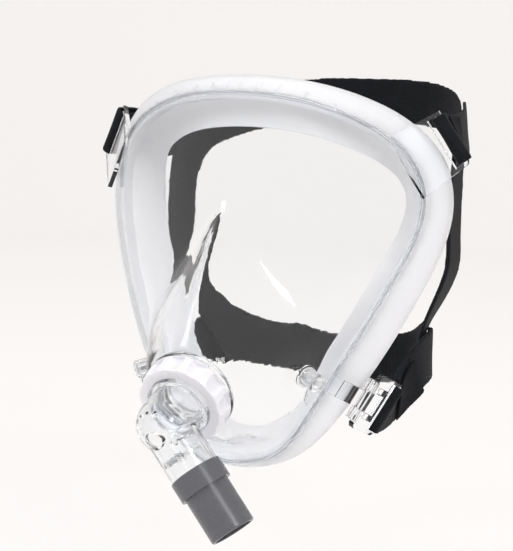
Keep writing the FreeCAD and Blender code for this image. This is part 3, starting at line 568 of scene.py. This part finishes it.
class MASK_OT_headgear(bpy.types.Operator):
    """Make the black straps, their hook ends and the yoke that joins them at the back"""

    bl_idname = "mask.headgear"
    bl_label = "Headgear"

    def execute(self, context):
        settings = context.scene.mask_webbing
        pitch = settings.weave_pitch
        web = black_webbing(settings, "black_webbing", pitch, depth=0.0004, roughness=0.62)
        fuzz = black_webbing(settings, "black_hook", pitch * 0.6, depth=0.0006, roughness=0.8)
        seed = 1.0
        for level in ("upper", "lower"):
            for side in ("left", "right"):
                bend = strap_bend(side) if level == "lower" else None
                node = f"{level}_strap_{side}"
                piece = merged_copy(node, f"webbing_{level}_{side}")
                soft_shape(piece, voxel=0.0006, amount=0.0005, scale=60.0, seed=seed)
                dress(piece, web, node, bend)
                node = f"{level}_hook_tab_{side}"
                tab = merged_copy(node, f"hook_end_{level}_{side}")
                soft_shape(tab, voxel=0.0006, amount=0.0002, scale=200.0, seed=seed + 5)
                dress(tab, fuzz, node, bend)
                seed += 1.7
        yoke = merged_copy("headgear_yoke", "yoke_fabric")
        soft_shape(yoke, voxel=0.0011, amount=0.0007, scale=22.0, seed=9.0)
        dress(yoke, web, "headgear_yoke")
        return {"FINISHED"}


# Stage
def backdrop_pale(settings):
    m, tree, out = new_material("backdrop_pale")
    d = add(tree, "ShaderNodeBsdfDiffuse", Roughness=0.9)
    duller = [c * 0.985 for c in settings.backdrop_colour]
    tone = two_tones(tree, settings.backdrop_colour, duller, scale=3.0)
    tree.links.new(tone, d.inputs["Color"])
    glow = add(tree, "ShaderNodeEmission", Strength=1.0)
    tree.links.new(tone, glow.inputs["Color"])
    share = tree.nodes.new("ShaderNodeMath")
    share.operation = "MULTIPLY"
    share.inputs[1].default_value = BACKDROP_GLOW
    tree.links.new(seen_directly(tree), share.inputs[0])
    mix = tree.nodes.new("ShaderNodeMixShader")
    tree.links.new(share.outputs[0], mix.inputs["Fac"])
    tree.links.new(d.outputs[0], mix.inputs[1])
    tree.links.new(glow.outputs[0], mix.inputs[2])
    tree.links.new(mix.outputs[0], out.inputs["Surface"])
    return m


def select_far_edges(floor, below):
    # Selects the floor's edges at its far side, up to a height.
    far = FLOOR_SIZE / 2 - FLOOR_NEAR
    bm = bmesh.from_edit_mesh(floor.data)
    for edge in bm.edges:
        edge.select_set(all(v.co.y > far and v.co.z < below for v in edge.verts))
    bm.select_flush(False)
    bmesh.update_edit_mesh(floor.data)


def curved_floor(context, settings):
    low = CAD_BOX[0].z - FLOOR_DROP
    bpy.ops.object.select_all(action="DESELECT")
    bpy.ops.mesh.primitive_plane_add(size=FLOOR_SIZE, location=(0, -FLOOR_FORWARD, low))
    floor = context.view_layer.objects.active
    floor.name = "floor"
    bpy.ops.object.mode_set(mode="EDIT")
    select_far_edges(floor, BACKDROP_HEIGHT)
    bpy.ops.mesh.extrude_edges_move(TRANSFORM_OT_translate={"value": (0, 0, BACKDROP_HEIGHT)})
    bpy.ops.mesh.select_all(action="DESELECT")
    select_far_edges(floor, FLOOR_NEAR)
    bpy.ops.mesh.bevel(offset=BACKDROP_BEND, segments=16, affect="EDGES")
    bpy.ops.object.mode_set(mode="OBJECT")
    bpy.ops.object.transform_apply(location=True)
    bpy.ops.object.shade_smooth()
    floor.data.materials.append(backdrop_pale(settings))


def studio_world(context, settings):
    world = bpy.data.worlds.new("studio")
    context.scene.world = world
    world.use_nodes = True
    tree = world.node_tree
    tree.nodes.clear()
    out = tree.nodes.new("ShaderNodeOutputWorld")
    light = add(tree, "ShaderNodeBackground", Strength=WORLD_LIGHT)
    light.inputs["Color"].default_value = (1, 1, 1, 1)
    shown = add(tree, "ShaderNodeBackground", Strength=1.0)
    shown.inputs["Color"].default_value = (*[c * 0.95 for c in settings.backdrop_colour], 1)
    mix = tree.nodes.new("ShaderNodeMixShader")
    tree.links.new(seen_directly(tree), mix.inputs["Fac"])
    tree.links.new(light.outputs[0], mix.inputs[1])
    tree.links.new(shown.outputs[0], mix.inputs[2])
    tree.links.new(mix.outputs[0], out.inputs["Surface"])


def soft_lamps(context):
    for name, place, size, power in LAMPS:
        data = bpy.data.lights.new(name, "AREA")
        data.size = size
        data.energy = power
        lamp = bpy.data.objects.new(name, data)
        context.scene.collection.objects.link(lamp)
        lamp.location = place
        lamp.rotation_mode = "QUATERNION"
        lamp.rotation_quaternion = (LAMP_AIM - Vector(place)).to_track_quat("-Z", "Y")


def photo_camera(context, settings):
    a, e, r = settings.camera_turn, settings.camera_height, settings.camera_roll
    back = Vector((math.sin(a) * math.cos(e), -math.cos(a) * math.cos(e), math.sin(e)))
    right = Vector((math.cos(a), math.sin(a), 0))
    up = back.cross(right)
    right, up = right * math.cos(r) + up * math.sin(r), up * math.cos(r) - right * math.sin(r)
    place = back * settings.camera_distance
    target = right * AIM_RIGHT - up * AIM_DOWN
    z = (place - target).normalized()
    x = (right - z * right.dot(z)).normalized()
    y = z.cross(x)
    data = bpy.data.cameras.new("photo_camera")
    data.lens = settings.camera_lens
    data.clip_start = 0.01
    data.clip_end = 100.0
    camera = bpy.data.objects.new("photo_camera", data)
    context.scene.collection.objects.link(camera)
    camera.matrix_world = Matrix((
        (x.x, y.x, z.x, place.x), (x.y, y.y, z.y, place.y), (x.z, y.z, z.z, place.z), (0, 0, 0, 1)))
    context.scene.camera = camera


class MASK_OT_stage(bpy.types.Operator):
    """Set the plain pale floor and backdrop, the soft studio lights and the camera"""

    bl_idname = "mask.stage"
    bl_label = "Stage"

    def execute(self, context):
        settings = context.scene.mask_stage
        curved_floor(context, settings)
        studio_world(context, settings)
        soft_lamps(context)
        photo_camera(context, settings)
        context.scene.view_settings.view_transform = "Standard"
        return {"FINISHED"}


class MASK_PT_panel(bpy.types.Panel):
    """Lists the mask's pieces and settings"""

    bl_idname = "MASK_PT_panel"
    bl_label = "Face Mask"
    bl_space_type = "VIEW_3D"
    bl_region_type = "UI"
    bl_category = "Face Mask"

    def draw(self, context):
        layout = self.layout
        for group in ("mask_plastic", "mask_silicone", "mask_webbing", "mask_stage"):
            settings = getattr(context.scene, group)
            box = layout.box()
            for prop in settings.bl_rna.properties:
                if prop.identifier not in ("rna_type", "name"):
                    box.prop(settings, prop.identifier)
        for op in OPERATORS:
            layout.operator(op.bl_idname)


OPERATORS = (
    MASK_OT_stage,
    MASK_OT_clear_mouldings,
    MASK_OT_cushion,
    MASK_OT_rim_notches,
    MASK_OT_hard_fittings,
    MASK_OT_headgear,
)
GROUPS = {
    "mask_plastic": PlasticSettings,
    "mask_silicone": SiliconeSettings,
    "mask_webbing": WebbingSettings,
    "mask_stage": StageSettings,
}


def register():
    for name, group in GROUPS.items():
        bpy.utils.register_class(group)
        setattr(bpy.types.Scene, name, bpy.props.PointerProperty(type=group))
    for cls in (*OPERATORS, MASK_PT_panel):
        bpy.utils.register_class(cls)


def unregister():
    for cls in reversed((*OPERATORS, MASK_PT_panel)):
        bpy.utils.unregister_class(cls)
    for name, group in GROUPS.items():
        delattr(bpy.types.Scene, name)
        bpy.utils.unregister_class(group)


def main():
    register()
    bpy.ops.mask.stage()
    bpy.ops.mask.clear_mouldings()
    bpy.ops.mask.cushion()
    bpy.ops.mask.rim_notches()
    bpy.ops.mask.hard_fittings()
    bpy.ops.mask.headgear()


if __name__ == "__main__":
    main()
